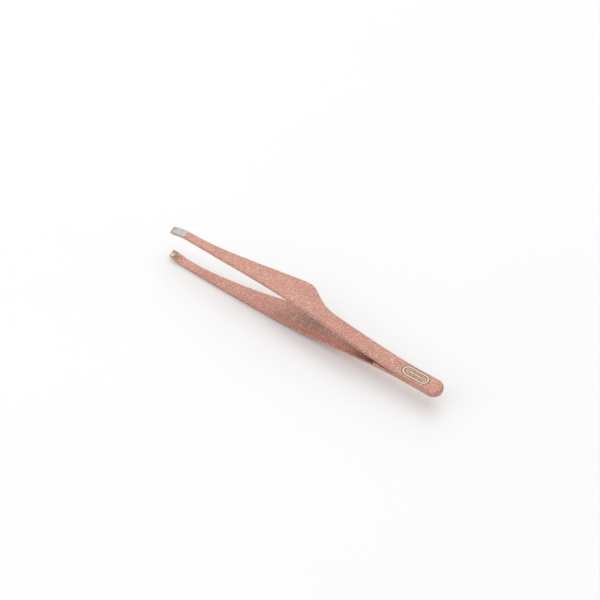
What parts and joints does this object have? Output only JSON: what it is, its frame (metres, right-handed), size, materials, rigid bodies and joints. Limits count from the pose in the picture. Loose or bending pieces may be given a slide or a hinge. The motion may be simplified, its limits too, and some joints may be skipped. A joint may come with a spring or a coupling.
{
  "type": "slant tweezers",
  "caption": "Sprung tweezers with slanted bare-steel jaws, glitter-coated bowed arms and one-sided finger rests, joined at a rounded butt.",
  "frame": {"origin": "bottom centre of the part's bounding box, under the lower arm's flat crest", "axes": "+X along the length from the jaws to the butt, +Y to the side that carries the finger rests, +Z the direction in which the arms open"},
  "size_m": [0.095, 0.0102, 0.0128],
  "materials": {
    "glitter_coat": "rose-gold lacquer full of fine glitter flakes, satin",
    "bare_steel": "fine ground satin steel",
    "weld_steel": "dull fused steel, hidden between the arms"
  },
  "bodies": {
    "butt": {"upper_butt": "glitter_coat", "lower_butt": "glitter_coat", "spacer_wedge": "glitter_coat", "weld_rear": "weld_steel", "weld_front": "weld_steel"},
    "upper_blade": {"upper_arm": "glitter_coat", "upper_jaw": "bare_steel"},
    "lower_blade": {"lower_arm": "glitter_coat", "lower_jaw": "bare_steel"}
  },
  "joints": [
    {"name": "upper_flex", "type": "hinge", "parent": "butt", "child": "upper_blade", "pos_m": [0.0215, -0.0022, 0.00836], "axis": [0, -1, 0], "range_deg": [0, 3.79], "stiffness_Nm_per_rad": 0.7},
    {"name": "lower_flex", "type": "hinge", "parent": "butt", "child": "lower_blade", "pos_m": [0.0215, -0.0022, 0.00444], "axis": [0, 1, 0], "range_deg": [0, 3.79], "stiffness_Nm_per_rad": 0.7}
  ],
  "couplings": [
    {"joint": "lower_flex", "follows": "upper_flex", "ratio": 1}
  ]
}
